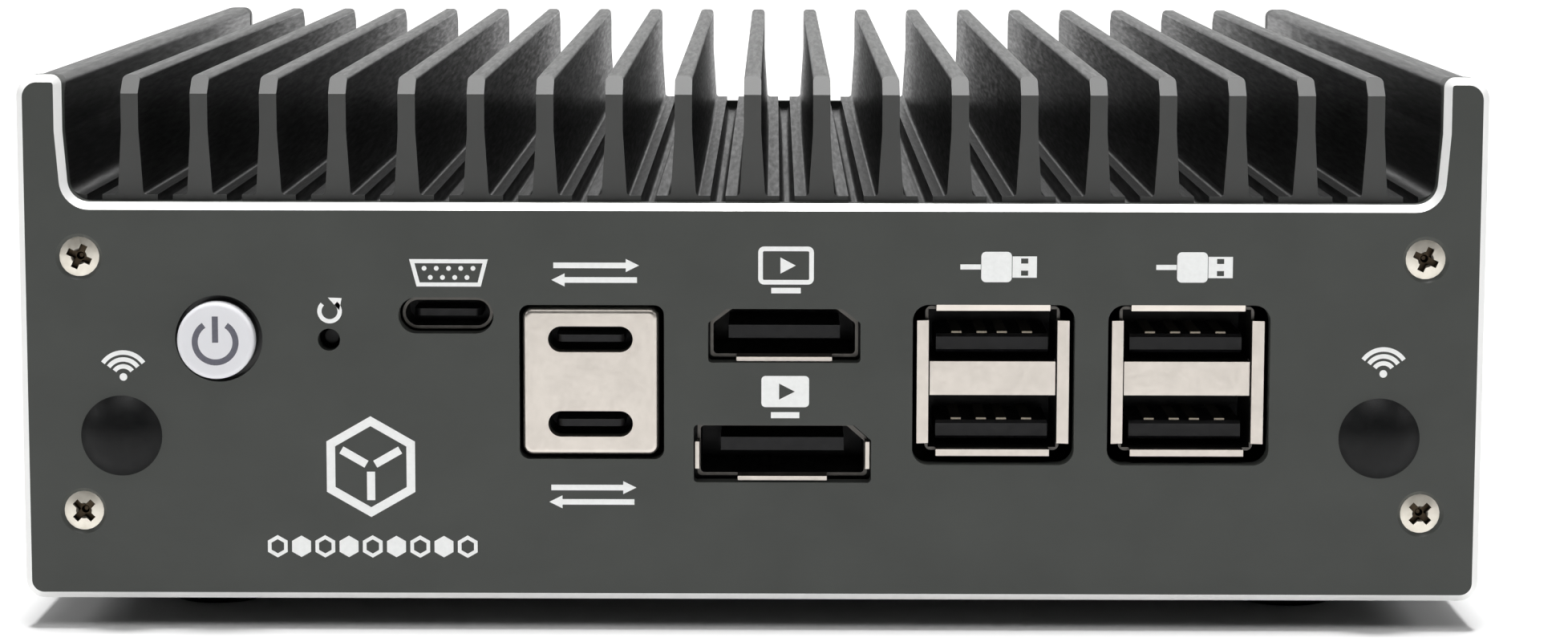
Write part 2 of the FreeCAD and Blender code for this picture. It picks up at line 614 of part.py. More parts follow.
def data_insulator(x):
    half = DATA_W / 2
    back = box(x - half, x + half, DATA_POCKET, DATA_BACK, DATA_Z[1], DATA_Z[0] + DATA_H[0])
    blades = []
    for z in DATA_Z:
        blade = box(x - TONGUE_HALF, x + TONGUE_HALF, -60.4, DATA_POCKET,
                    z + TONGUE_LIFT, z + TONGUE_LIFT + TONGUE_THICK)
        rim = [e for e in blade.Edges if e.BoundBox.YMax < -60.3 and e.Length > 5]
        blades.append(blade.makeChamfer(0.3, rim))
    return join([back] + blades)


def data_contacts(x):
    return [box(x + dx - 0.5, x + dx + 0.5, -60.0, DATA_POCKET,
                z + TONGUE_LIFT + TONGUE_THICK, z + TONGUE_LIFT + TONGUE_THICK + 0.2)
            for z in DATA_Z for dx in CONTACT_X]


for label, centre in zip(("left", "right"), DATA_X):
    save("usb_a_" + label + "_shell", data_shell(centre))
    save("usb_a_" + label + "_insulator", data_insulator(centre))
    save("usb_a_" + label + "_contacts", data_contacts(centre))


# ---- network jacks ------------------------------------------------------------------
JACK_HALF, JACK_Z0, JACK_Z1, JACK_DEPTH = 5.95, 22.4, 30.4, 14.0
LATCH_HALF, LATCH_Z = 3.1, 20.8
LAMP_X, LAMP_Z, LAMP_DEPTH = (3.9, 6.7), (20.7, 22.0), 3.0
INSERT_FRONT = LAN_FRONT - 0.3


def lan_shell(x):
    half = LAN_W / 2
    outer = box(x - half, x + half, LAN_BACK, LAN_FRONT, LAN_Z[0], LAN_Z[1])
    inner = box(x - half + LAN_WALL, x + half - LAN_WALL, LAN_BACK + LAN_WALL, LAN_FRONT + 1,
                LAN_Z[0] + LAN_WALL, LAN_Z[1] - LAN_WALL)
    return outer.cut(inner)


def lamp_boxes(x):
    return [box(min(x + s * LAMP_X[0], x + s * LAMP_X[1]), max(x + s * LAMP_X[0], x + s * LAMP_X[1]),
                INSERT_FRONT - LAMP_DEPTH, INSERT_FRONT, LAMP_Z[0], LAMP_Z[1]) for s in (-1, 1)]


def lan_insert(x):
    half = LAN_W / 2 - LAN_WALL
    block = box(x - half, x + half, LAN_BACK + LAN_WALL, INSERT_FRONT,
                LAN_Z[0] + LAN_WALL, LAN_Z[1] - LAN_WALL)
    inside = INSERT_FRONT - JACK_DEPTH
    pocket = box(x - JACK_HALF, x + JACK_HALF, inside, LAN_FRONT, JACK_Z0, JACK_Z1)
    latch = box(x - LATCH_HALF, x + LATCH_HALF, inside, LAN_FRONT, LATCH_Z, JACK_Z0)
    return block.cut([pocket, latch] + lamp_boxes(x))


def lan_contacts(x):
    pitch, half = 1.02, 0.18
    points = [(INSERT_FRONT - 1.2, JACK_Z1), (INSERT_FRONT - 2.2, JACK_Z1),
              (INSERT_FRONT - 9.0, JACK_Z1 - 1.95), (INSERT_FRONT - 9.0, JACK_Z1 - 2.25)]
    return [side_profile(points, x + pitch * (i - 3.5) - half, x + pitch * (i - 3.5) + half)
            for i in range(8)]


wires, lamps = [], []
for number, centre in enumerate(LAN_X, 1):
    save("lan_shell_%d" % number, lan_shell(centre))
    save("lan_insert_%d" % number, lan_insert(centre))
    wires += lan_contacts(centre)
    lamps += lamp_boxes(centre)
save("lan_contacts", wires)
save("lan_leds", lamps)

# ---- direct-current inlet -----------------------------------------------------------
dx, dz = POWER_IN
FLANGE_Y, INLET_Y = 60.5, 65.05
body = box(dx - 5.2, dx + 5.2, 46.0, FLANGE_Y, dz - 5.2, BOARD_Z[0])
body = body.cut([rod(dx, dz, BARREL_R, 58.0, FLANGE_Y + 1), rod(dx, dz, BARREL_BORE_R, 50.0, 59.0)])
barrel = join([rod(dx, dz, BARREL_R, 58.0, INLET_Y), rod(dx, dz, 5.1, FLANGE_Y, CASE_Y)])
barrel = barrel.cut(rod(dx, dz, BARREL_BORE_R, 57.0, INLET_Y + 1))
rim = [e for e in barrel.Edges if e.BoundBox.YMin > INLET_Y - 0.01]
barrel = barrel.makeChamfer(0.25, rim)
nut = hexagon(dx, dz, 11.0, FACE_Y, FACE_Y + 1.3)
nut = nut.common(cone(dx, dz, 8.0, 5.6, FACE_Y - 0.5, FACE_Y + 1.4)).cut(
    rod(dx, dz, BARREL_R, FACE_Y - 1, FACE_Y + 2))
pin = rod(dx, dz, PIN_R, 50.0, 64.4)
pin = pin.makeFillet(0.5, [e for e in pin.Edges if e.BoundBox.YMin > 64.3])
save("dc_jack_body", body)
save("dc_jack_barrel", barrel)
save("dc_jack_nut", nut)
save("dc_jack_pin", pin)

# ---- mainboard and its fixings ------------------------------------------------------
board = box(-BOARD[0], BOARD[0], -BOARD[1], BOARD[1], BOARD_Z[0], BOARD_Z[1])
board = board.makeFillet(1.5, [e for e in board.Edges if e.BoundBox.ZLength > 1])
board_holes, standoffs, board_screws = [], [], []
for sx, sy in corners:
    x, y = sx * STANDOFF[0], sy * STANDOFF[1]
    board_holes.append(post(x, y, 1.5, BOARD_Z[0] - 1, BOARD_Z[1] + 1))
    column = join([post(x, y, 2.8, BOARD_Z[1], SLAB_Z), post(x, y, SCREW_R, SLAB_Z, SLAB_Z + 1.7)])
    standoffs.append(column.cut(post(x, y, SCREW_R, BOARD_Z[1], SLAB_Z - 0.6)))
    board_screws.append(upright_screw(x, y, BOARD_Z[0] - 1.3, 2.4, 1.2, 1.3, SLAB_Z - 1.2, False))
save("mainboard", board.cut(board_holes))
save("board_standoffs", standoffs)
save("board_screws", board_screws)

# ---- processor and the path for its heat --------------------------------------------
CHIP_Y = -6.0
BLOCK_Z = (36.4, 38.9)
package = box(-17, 17, CHIP_Y - 12, CHIP_Y + 12, BOARD_Z[1], BOARD_Z[1] + 1.2)
die = box(-6.5, 6.5, CHIP_Y - 5, CHIP_Y + 5, BOARD_Z[1] + 1.2, BLOCK_Z[0])
copper = box(-24, 24, CHIP_Y - 19, CHIP_Y + 19, BLOCK_Z[0], BLOCK_Z[1])
copper = copper.makeChamfer(0.5, [e for e in copper.Edges if e.BoundBox.ZLength > 1])
save("processor", join([package, die]))
save("heat_transfer_block", copper)
save("thermal_pads", box(-23, 23, CHIP_Y - 18, CHIP_Y + 18, BLOCK_Z[1], SLAB_Z))

# ---- memory -------------------------------------------------------------------------
MODULE_HALF, MODULE_T = 33.8, 1.2
SOCKET_Y0, SOCKET_Y1, SLOT_END = -6.0, 0.0, -3.0
MODULE_FRONT = -33.0
SOCKET_HALF, SOCKET_Z = 37.2, 28.1
PIVOT_DX, PIVOT_Y, PIVOT_R = 35.6, -3.0, 0.9
ARM = (35.2, 36.0)


def memory_latch(side):
    x = MEMORY_X
    arm = box(min(x + side * ARM[0], x + side * ARM[1]), max(x + side * ARM[0], x + side * ARM[1]),
              -31.0, PIVOT_Y, 28.7, 32.7)
    hook = box(min(x + side * 32.8, x + side * ARM[0]), max(x + side * 32.8, x + side * ARM[0]),
               -31.0, -28.0, 28.7, MEMORY_Z - 0.05)
    pivot = post(x + side * PIVOT_DX, PIVOT_Y, PIVOT_R, 28.4, 32.9)
    return join([arm, hook, pivot])


def memory_socket():
    x = MEMORY_X
    block = box(x - SOCKET_HALF, x + SOCKET_HALF, SOCKET_Y0, SOCKET_Y1, SOCKET_Z, BOARD_Z[0])
    cuts = [box(x - MODULE_HALF, x + MODULE_HALF, SOCKET_Y0 - 1, SLOT_END,
                MEMORY_Z, MEMORY_Z + MODULE_T)]
    for side in (-1, 1):
        cuts.append(post(x + side * PIVOT_DX, PIVOT_Y, PIVOT_R + 0.06, 28.35, 32.95))
        sweep = (x + side * 34.9, x + side * (SOCKET_HALF + 1))
        cuts.append(box(min(sweep), max(sweep), SOCKET_Y0 - 1, PIVOT_Y, 28.35, 32.95))
    return block.cut(cuts)


def memory_module():
    x = MEMORY_X
    card = box(x - MODULE_HALF, x + MODULE_HALF, MODULE_FRONT, SLOT_END, MEMORY_Z, MEMORY_Z + MODULE_T)
    key = box(x + 4, x + 5.4, -6.5, SLOT_END + 1, MEMORY_Z - 1, MEMORY_Z + 2)
    chips = [box(x + dx - 5, x + dx + 5, -25, -12, MEMORY_Z - 1.0, MEMORY_Z) for dx in (-24, -9, 9, 24)]
    return join([card] + chips).cut(key)


save("memory_socket", memory_socket())
save("memory_latch_left", memory_latch(-1))
save("memory_latch_right", memory_latch(1))
save("memory_module", memory_module())

# ---- solid state drive --------------------------------------------------------------
DRIVE_X, DRIVE_Y, DRIVE_Z = (-58.0, 22.0), (6.0, 28.0), (30.2, 31.0)
drive = box(DRIVE_X[0], DRIVE_X[1], DRIVE_Y[0], DRIVE_Y[1], DRIVE_Z[0], DRIVE_Z[1])
drive = join([drive] + [box(x, x + 14, 8, 26, DRIVE_Z[0] - 1.2, DRIVE_Z[0]) for x in (-48, -28, -8)])
drive_mid = sum(DRIVE_Y) / 2
drive_screw_x = DRIVE_X[0] + 0.2
drive = drive.cut([post(drive_screw_x, drive_mid, 1.6, DRIVE_Z[0] - 1, DRIVE_Z[1] + 1),
                   box(19.0, 23.0, 11.0, 12.4, DRIVE_Z[0] - 1, DRIVE_Z[1] + 1)])
socket = box(19.4, 26.0, DRIVE_Y[0] - 0.6, DRIVE_Y[1] + 0.6, 28.9, BOARD_Z[0])
socket = socket.cut(box(18.0, DRIVE_X[1], DRIVE_Y[0], DRIVE_Y[1], DRIVE_Z[0], DRIVE_Z[1]))
pillar = post(drive_screw_x, drive_mid, 2.6, DRIVE_Z[1], BOARD_Z[0])
pillar = pillar.cut(post(drive_screw_x, drive_mid, 1.1, DRIVE_Z[1] - 1, BOARD_Z[0] - 0.3))
drive_screw = upright_screw(drive_screw_x, drive_mid, DRIVE_Z[0] - 0.9, 2.4, 1.05, 0.9,
                            BOARD_Z[0] - 0.5, False)
save("ssd_module", drive)
save("ssd_socket", [socket, pillar, drive_screw])

# ---- clock cell ---------------------------------------------------------------------
CELL = (45.0, -22.0)
holder = post(CELL[0], CELL[1], 11.6, 28.6, BOARD_Z[0])
holder = holder.cut([post(CELL[0], CELL[1], 10.1, 27.0, 32.2),
                     box(CELL[0] - 4, CELL[0] + 4, CELL[1] - 13, CELL[1] - 8, 27.0, 32.2)])
cell = post(CELL[0], CELL[1], 10.0, 29.0, 32.2)
cell = cell.makeFillet(0.5, [e for e in cell.Edges if e.BoundBox.ZMax < 29.1])
save("coin_cell_holder", holder)
save("coin_cell", cell)

# ---- smaller parts on the mainboard -------------------------------------------------
low, top = BOARD_Z
small = []
for x in (34.0, 42.0, 50.0):
    coil = box(x - 3.2, x + 3.2, 0.8, 7.2, low - 3.0, low)
    small.append(coil.makeFillet(0.6, [e for e in coil.Edges if e.BoundBox.ZLength > 1]))
    small.append(post(x, 16.0, 3.1, low - 6.0, low))
    small.append(box(x - 3.2, x + 3.2, -4.6, -1.2, low - 1.0, low))
small += [box(x - 3.5, x + 3.5, 33.0, 40.0, low - 0.9, low) for x in LAN_X]
small += [box(-58, -48, 33, 39, low - 2.0, low), box(32, 44, 25, 33, low - 1.0, low),
          box(-40, -32, -52, -44, low - 1.1, low), box(48, 56, 24, 40, low - 1.4, low)]
small += [box(x - 4, x + 4, y - 4, y + 4, top, top + 1.1) for x, y in
          ((-40, -30), (40, -30), (-40, 24), (40, 24), (0, 34))]
save("board_components", small)
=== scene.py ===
"""Looks of the fanless mini pc: printed symbols, polished bevels, finishes, studio and camera."""
import json
import math
import bmesh
import bpy
from mathutils import Matrix, Vector


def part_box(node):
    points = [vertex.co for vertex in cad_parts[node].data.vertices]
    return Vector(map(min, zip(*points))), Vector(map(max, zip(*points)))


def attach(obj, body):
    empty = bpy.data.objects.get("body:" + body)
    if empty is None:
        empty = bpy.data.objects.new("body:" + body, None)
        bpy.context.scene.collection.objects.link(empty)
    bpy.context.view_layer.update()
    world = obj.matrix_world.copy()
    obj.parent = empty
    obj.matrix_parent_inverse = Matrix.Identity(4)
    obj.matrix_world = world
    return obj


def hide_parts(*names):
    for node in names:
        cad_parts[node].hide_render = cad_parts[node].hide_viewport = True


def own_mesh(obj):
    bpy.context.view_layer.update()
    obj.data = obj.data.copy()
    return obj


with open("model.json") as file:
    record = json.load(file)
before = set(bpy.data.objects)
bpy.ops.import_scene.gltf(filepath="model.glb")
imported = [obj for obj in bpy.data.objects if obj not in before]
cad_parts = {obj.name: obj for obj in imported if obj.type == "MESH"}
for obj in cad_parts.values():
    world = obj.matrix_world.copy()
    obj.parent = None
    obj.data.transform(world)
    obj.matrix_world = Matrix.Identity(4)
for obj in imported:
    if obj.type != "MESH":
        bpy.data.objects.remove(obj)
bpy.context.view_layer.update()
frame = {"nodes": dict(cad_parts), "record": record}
nodes = frame["nodes"]
MM = 0.001

plate_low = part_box("front_plate")[0]
FACE_Y = plate_low.y
REAR_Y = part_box("rear_plate")[1].y

# Centres of the plate screws and the reach of their countersinks, in millimetres.
SCREW_X, SCREW_Z = 66.05, (37.15, 11.85)
SINK_REACH = 2.8

# ---- camera -------------------------------------------------------------------------
SENSOR_WIDTH, FOCAL_LENGTH = 36.0, 80.25
SHIFT_X, SHIFT_Y = 0.0107, -0.0718
ASIDE, BACK_OFF, LIFT = 2.15 * MM, 339.94 * MM, 77.17 * MM
PITCH, YAW, ROLL = 0.11157, -0.00202, 0.00208

camera_data = bpy.data.cameras.new("camera")
camera = bpy.data.objects.new("camera", camera_data)
bpy.context.scene.collection.objects.link(camera)
camera_data.sensor_width = SENSOR_WIDTH
camera_data.lens = FOCAL_LENGTH
camera_data.shift_x = SHIFT_X
camera_data.shift_y = SHIFT_Y
camera_data.clip_start = 10 * MM
camera.location = (ASIDE, FACE_Y - BACK_OFF, plate_low.z + LIFT)
swing = Matrix.Rotation(-YAW, 3, "Z") @ Matrix.Rotation(math.pi / 2 - PITCH, 3, "X")
camera.rotation_euler = (swing @ Matrix.Rotation(ROLL, 3, "Z")).to_euler()
bpy.context.scene.camera = camera


# ---- material helpers ---------------------------------------------------------------
class Finish:
    """A node material with object coordinates in metres ready for its textures."""

    def __init__(self, name, colour, metallic, roughness):
        self.material = bpy.data.materials.new(name)
        self.material.use_nodes = True
        self.tree = self.material.node_tree
        self.shader = next(n for n in self.tree.nodes if n.type == "BSDF_PRINCIPLED")
        self.shader.inputs["Base Color"].default_value = (*colour, 1)
        self.shader.inputs["Metallic"].default_value = metallic
        self.shader.inputs["Roughness"].default_value = roughness
        self.colour = colour
        self.roughness = roughness
        self.coords = self.tree.nodes.new("ShaderNodeTexCoord").outputs["Object"]
        self.bump = None

    def put(self, name, value):
        self.shader.inputs[name].default_value = value
        return self

    def noise(self, size_mm, stretch=(1, 1, 1), detail=3.0):
        """Noise with features about size_mm across, longer along axes where stretch is over 1."""
        mapping = self.tree.nodes.new("ShaderNodeMapping")
        mapping.inputs["Scale"].default_value = [1 / (size_mm * MM * s) for s in stretch]
        texture = self.tree.nodes.new("ShaderNodeTexNoise")
        texture.inputs["Scale"].default_value = 1.0
        texture.inputs["Detail"].default_value = detail
        self.tree.links.new(self.coords, mapping.inputs["Vector"])
        self.tree.links.new(mapping.outputs["Vector"], texture.inputs["Vector"])
        return texture.outputs["Fac"]

    def ramp(self, source, stops):
        node = self.tree.nodes.new("ShaderNodeValToRGB")
        elements = node.color_ramp.elements
        while len(elements) < len(stops):
            elements.new(0.5)
        for element, (place, value) in zip(elements, stops):
            colour = value if hasattr(value, "__len__") else (value, value, value)
            element.position = place
            element.color = (*colour, 1)
        self.tree.links.new(source, node.inputs["Fac"])
        return node.outputs["Color"]

    def mix(self, factor, first, second):
        """first where factor is 0, second where it is 1; each a colour or another node output."""
        node = self.tree.nodes.new("ShaderNodeMix")
        node.data_type = "RGBA"
        sockets = [node.inputs[i] for i in (0, 6, 7)]
        for socket, value in zip(sockets, (factor, first, second)):
            if hasattr(value, "is_output"):
                self.tree.links.new(value, socket)
            elif hasattr(value, "__len__"):
                socket.default_value = (*value, 1)
            else:
                socket.default_value = value
        return node.outputs[2]

    def link(self, source, name):
        self.tree.links.new(source, self.shader.inputs[name])
        return self

    def math(self, operation, *values):
        node = self.tree.nodes.new("ShaderNodeMath")
        node.operation = operation
        for socket, value in zip(node.inputs, values):
            if hasattr(value, "is_output"):
                self.tree.links.new(value, socket)
            else:
                socket.default_value = value
        return node.outputs[0]

    def away(self, axis):
        """Distance from the origin along axis."""
        split = self.tree.nodes.new("ShaderNodeSeparateXYZ")
        self.tree.links.new(self.coords, split.inputs[0])
        return self.math("ABSOLUTE", split.outputs[axis])

    def inside(self, axis, reach):
        """1 where the point is nearer than reach to the origin along axis, else 0."""
        return self.math("LESS_THAN", self.away(axis), reach)

    def tint(self, source, spread):
        """Base colour a share of spread darker to lighter as the source goes from low to high."""
        low = [c * (1 - spread) for c in self.colour]
        high = [c * (1 + spread) for c in self.colour]
        colour = self.ramp(source, [(0.3, low), (0.7, high)])
        self.tree.links.new(colour, self.shader.inputs["Base Color"])
        return self

    def gloss(self, source, spread):
        """Roughness wanders by spread to either side."""
        low, high = self.roughness - spread, self.roughness + spread
        value = self.ramp(source, [(0.3, low), (0.7, high)])
        self.tree.links.new(value, self.shader.inputs["Roughness"])
        return self

    def relief(self, source, height_mm):
        """Fine bumps, laid over any that the finish already has."""
        node = self.tree.nodes.new("ShaderNodeBump")
        node.inputs["Strength"].default_value = 1.0
        node.inputs["Distance"].default_value = height_mm * MM
        self.tree.links.new(source, node.inputs["Height"])
        if self.bump:
            self.tree.links.new(self.bump.outputs["Normal"], node.inputs["Normal"])
        self.tree.links.new(node.outputs["Normal"], self.shader.inputs["Normal"])
        self.bump = node
        return self


# ---- finishes -----------------------------------------------------------------------
CHANNEL_EDGE = 3.4 * MM
WALL_EDGE = 5.3 * MM
END_FACE = 0.1 * MM
FIN_TIP = 0.5 * MM
FIN_NOSE = 1.85 * MM
FIN_REACH = 11.2 * MM
NOSE_ROUGHNESS = (0.43, 0.43, 0.43)
BODY_SHEEN, CHANNEL_SHEEN_LOSS = 0.3, 0.26
# near-black base colour painted into the fin channels as shade
CHANNEL_PAINTED_SHADE = (0.008, 0.0081, 0.008)
STEEL_SHADE_DEPTH = 1.95 * MM
RECESS_DEPTH = 0.35 * MM
SKIRT_DEPTH = 0.4 * MM
MODULE_CHIP_HEIGHT = 0.95 * MM


def anodised(name, colour, roughness, sheen, grain):
    finish = Finish(name, colour, 0.0, roughness).put("Specular IOR Level", sheen)
    finish.tint(finish.noise(9.0), 0.07)
    finish.gloss(finish.noise(0.35, grain), 0.06)
    finish.relief(finish.noise(0.12, grain, 2.0), 0.004)
    finish.relief(finish.noise(0.06), 0.004)
    return finish


plate_finish = anodised("anodised_plate", (0.058, 0.062, 0.057), 0.42, 0.3, (6, 1, 1)).material

# Painted shade: the fins' sides and the channel floors are coloured near-black where shade falls
# between the fins, darker than the tips, the sawn noses and the ends; the fin sides also get less
# specular.
body = anodised("anodised_body", (0.062, 0.063, 0.061), 0.34, BODY_SHEEN, (1, 14, 1))
case_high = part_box("heatsink_case")[1]
in_channels = body.math("MINIMUM", body.inside("X", case_high.x - CHANNEL_EDGE),
                        body.inside("Y", case_high.y - END_FACE))
under_tips = body.inside("Z", case_high.z - FIN_TIP)
off_nose = body.math("LESS_THAN", body.math("ADD", body.away("Y"), body.away("Z")),
                     case_high.y + case_high.z - FIN_NOSE)
# painted shade mask: inside the channels, below the fin tips and behind the sawn noses
painted_shade_mask = body.math("MULTIPLY", body.math("MULTIPLY", in_channels, under_tips), off_nose)
body_colour = body.shader.inputs["Base Color"].links[0].from_socket
body.link(body.mix(painted_shade_mask, body_colour, CHANNEL_PAINTED_SHADE), "Base Color")
body_gloss = body.shader.inputs["Roughness"].links[0].from_socket
body.link(body.mix(off_nose, NOSE_ROUGHNESS, body_gloss), "Roughness")
over_floor = body.math("SUBTRACT", 1.0, body.inside("Z", case_high.z - FIN_REACH))
off_walls = body.inside("X", case_high.x - WALL_EDGE)
fin_sides = body.math("MULTIPLY", body.math("MULTIPLY", painted_shade_mask, over_floor), off_walls)
sheen = body.math("SUBTRACT", BODY_SHEEN, body.math("MULTIPLY", fin_sides, CHANNEL_SHEEN_LOSS))
body.link(sheen, "Specular IOR Level")
body_finish = body.material

bevel = Finish("polished_bevel", (0.87, 0.87, 0.86), 0.3, 0.5)
bevel.gloss(bevel.noise(0.5, (5, 1, 5)), 0.06).relief(bevel.noise(0.15, (8, 1, 8)), 0.002)
bevel_finish = bevel.material

cover = Finish("cover_paint", (0.050, 0.052, 0.050), 0.0, 0.55)
cover.tint(cover.noise(7.0), 0.08).relief(cover.noise(0.25), 0.02).gloss(cover.noise(1.4), 0.06)

port_steel = Finish("port_steel", (0.69, 0.635, 0.57), 1.0, 0.34)
port_steel.gloss(port_steel.noise(0.5, (1, 6, 1)), 0.05)
steel_colour = port_steel.ramp(port_steel.noise(2.4), [(0.3, (0.61, 0.565, 0.515)),
                                                       (0.7, (0.675, 0.625, 0.57))])
# painted shade: steel deeper than STEEL_SHADE_DEPTH behind the plates' outer faces is coloured
# near-black, where the plate opening shades it
painted_shade_behind_plate = port_steel.inside("Y", abs(FACE_Y) - STEEL_SHADE_DEPTH)
port_steel.link(port_steel.mix(painted_shade_behind_plate, steel_colour, (0.10, 0.095, 0.088)), "Base Color")
port_steel.relief(port_steel.noise(0.1, (1, 6, 1)), 0.002)

screw = Finish("nickel_screw", (0.70, 0.66, 0.58), 1.0, 0.42)
screw_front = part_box("front_plate_screws")[0].y
# painted shade: the cross recess, deeper than RECESS_DEPTH behind the head's front, is coloured
# dark brown where shade falls in it
painted_shade_in_recess = screw.inside("Y", abs(screw_front) - RECESS_DEPTH)
screw_colour = screw.ramp(screw.noise(0.9), [(0.3, (0.66, 0.62, 0.54)), (0.7, (0.76, 0.72, 0.64))])
screw.link(screw.mix(painted_shade_in_recess, screw_colour, (0.060, 0.045, 0.030)), "Base Color")
screw.gloss(screw.noise(0.3), 0.05).relief(screw.noise(0.12), 0.001)

dark_screw = Finish("black_screw", (0.045, 0.045, 0.047), 0.9, 0.4)
dark_screw.tint(dark_screw.noise(0.8), 0.2).relief(dark_screw.noise(0.12), 0.006)

rubber = Finish("rubber", (0.0035, 0.0038, 0.004), 0.0, 0.42)
rubber.tint(rubber.noise(2.0), 0.2).relief(rubber.noise(0.12), 0.012).gloss(rubber.noise(0.8), 0.06)
rubber.put("Specular IOR Level", 0.2)

white = Finish("white_plastic", (0.80, 0.80, 0.83), 0.0, 0.34)
white.relief(white.noise(0.2), 0.003).put("Coat Weight", 0.2)
white_colour = white.ramp(white.noise(3.0), [(0.3, (0.785, 0.785, 0.815)),
                                             (0.7, (0.815, 0.815, 0.845))])
# painted shade: the cap's skirt, deeper than SKIRT_DEPTH behind the plate's face inside the hole,
# is coloured near-black where the plate shades it
skirt_painted_shade = white.inside("Y", abs(FACE_Y) - SKIRT_DEPTH)
white.link(white.mix(skirt_painted_shade, white_colour, (0.012, 0.012, 0.013)), "Base Color")

grey = Finish("grey_symbol", (0.12, 0.12, 0.15), 0.0, 0.5)
grey.tint(grey.noise(0.4), 0.1).relief(grey.noise(0.1), 0.002)

black = Finish("black_plastic", (0.007, 0.007, 0.008), 0.0, 0.40)
black.put("Specular IOR Level", 0.3).tint(black.noise(1.2), 0.2)
black.relief(black.noise(0.08), 0.006).gloss(black.noise(0.6), 0.07)

spring = Finish("spring_steel", (0.62, 0.61, 0.59), 1.0, 0.24)
spring.gloss(spring.noise(0.3), 0.06).relief(spring.noise(0.1), 0.003)

gold = Finish("gold_contact", (0.28, 0.25, 0.20), 1.0, 0.42)
gold.tint(gold.noise(0.3), 0.08).gloss(gold.noise(0.2), 0.06)

brass = Finish("brass_fixing", (0.78, 0.58, 0.26), 1.0, 0.3)
brass.tint(brass.noise(0.8), 0.08).relief(brass.noise(0.15, (8, 8, 1)), 0.004)

lamp = Finish("lamp_plastic", (0.55, 0.62, 0.42), 0.0, 0.2)
lamp.tint(lamp.noise(0.7), 0.06).put("Transmission Weight", 0.3)

chip = Finish("chip", (0.018, 0.018, 0.020), 0.0, 0.5)
chip.tint(chip.noise(1.0), 0.15).relief(chip.noise(0.1), 0.008)

copper = Finish("copper", (0.86, 0.42, 0.27), 1.0, 0.3)
copper.tint(copper.noise(4.0), 0.08).relief(copper.noise(0.15, (1, 10, 1)), 0.004)

pad = Finish("pad", (0.33, 0.35, 0.41), 0.0, 0.8)
pad.tint(pad.noise(0.8), 0.1).relief(pad.noise(0.4), 0.03)

board = Finish("circuit_board", (0.010, 0.050, 0.026), 0.0, 0.3)
board.put("Coat Weight", 0.3)
traces = board.ramp(board.noise(1.1, (1, 4, 1), 1.0), [(0.46, 0.0), (0.5, 1.0), (0.54, 0.0)])
traced = board.mix(traces, (0.008, 0.042, 0.022), (0.030, 0.115, 0.060))
on_chips = board.inside("Z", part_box("memory_module")[0].z + MODULE_CHIP_HEIGHT)
board.link(board.mix(on_chips, traced, (0.018, 0.018, 0.020)), "Base Color")
board.relief(traces, 0.02)

print_ink = Finish("white_ink", (0.95, 0.96, 0.95), 0.0, 0.5)
print_ink.tint(print_ink.noise(0.5), 0.03).relief(print_ink.noise(0.08), 0.003)

FINISHES = {
    "anodised_body": body_finish, "anodised_plate": plate_finish,
    "cover_paint": cover.material, "rubber": rubber.material,
    "nickel_screw": screw.material, "black_screw": dark_screw.material,
    "white_plastic": white.material, "grey_symbol": grey.material,
    "spring_steel": spring.material, "port_steel": port_steel.material,
    "black_plastic": black.material, "gold_contact": gold.material,
    "brass_fixing": brass.material, "lamp_plastic": lamp.material,
    "circuit_board": board.material, "chip": chip.material,
    "copper": copper.material, "pad": pad.material,
}
for row in frame["record"]["subparts"]:
    for holder in nodes[row["node"]].material_slots:
        holder.material = FINISHES[row["material_slot"]]


# ---- plates with their bright cut bevel ---------------------------------------------
def bevelled_plate(node, name):
    """The plate's own shape, its outline bevel polished bright."""
    mesh = nodes[node].data.copy()
    mesh.materials.clear()
    mesh.materials.append(plate_finish)
    mesh.materials.append(bevel_finish)
    for face in mesh.polygons:
        slanted = 0.3 < abs(face.normal.y) < 0.95
        x, z = abs(face.center.x), face.center.z
        screw_near = any(math.hypot(x - SCREW_X * MM, z - screw_z * MM) < SINK_REACH * MM
                         for screw_z in SCREW_Z)
        face.material_index = 1 if slanted and not screw_near else 0
    piece = bpy.data.objects.new(name, mesh)
    bpy.context.scene.collection.objects.link(piece)
    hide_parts(node)
    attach(piece, "base")
    return piece


bevelled_plate("front_plate", "front_plate_finished")
bevelled_plate("rear_plate", "rear_plate_finished")

# ---- return spring, copied as a piece with its own mesh -----------------------------
coil = bpy.data.objects.new("power_button_coil", nodes["power_button_spring"].data.copy())
bpy.context.scene.collection.objects.link(coil)
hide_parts("power_button_spring")
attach(coil, "base")
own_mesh(coil)


# ---- printed symbols ----------------------------------------------------------------
def arc(x, z, radius, start, stop, steps=24):
    turns = [math.radians(start + (stop - start) * i / steps) for i in range(steps + 1)]
    return [(x + radius * math.cos(t), z + radius * math.sin(t)) for t in turns]


def disc(x, z, radius, sides=24):
    return [arc(x, z, radius, 0, 360, sides)[:-1]]


def offset(points, distance, closed):
    """The line shifted sideways by distance, mitred at its corners."""
    shifted = []
    count = len(points)
    for i, (x, z) in enumerate(points):
        before = points[i - 1] if closed or i else None
        after = points[(i + 1) % count] if closed or i < count - 1 else None
        ways = []
        if before:
            ways.append(Vector((x - before[0], z - before[1])).normalized())
        if after:
            ways.append(Vector((after[0] - x, after[1] - z)).normalized())
        normals = [Vector((-w.y, w.x)) for w in ways]
        middle = sum(normals, Vector((0, 0))).normalized()
        reach = distance / max(middle.dot(normals[0]), 0.35)
        shifted.append((x + middle.x * reach, z + middle.y * reach))
    return shifted


def stroke(points, width, closed=False):
    one, other = offset(points, width / 2, closed), offset(points, -width / 2, closed)
    return [one, other] if closed else [one + other[::-1]]


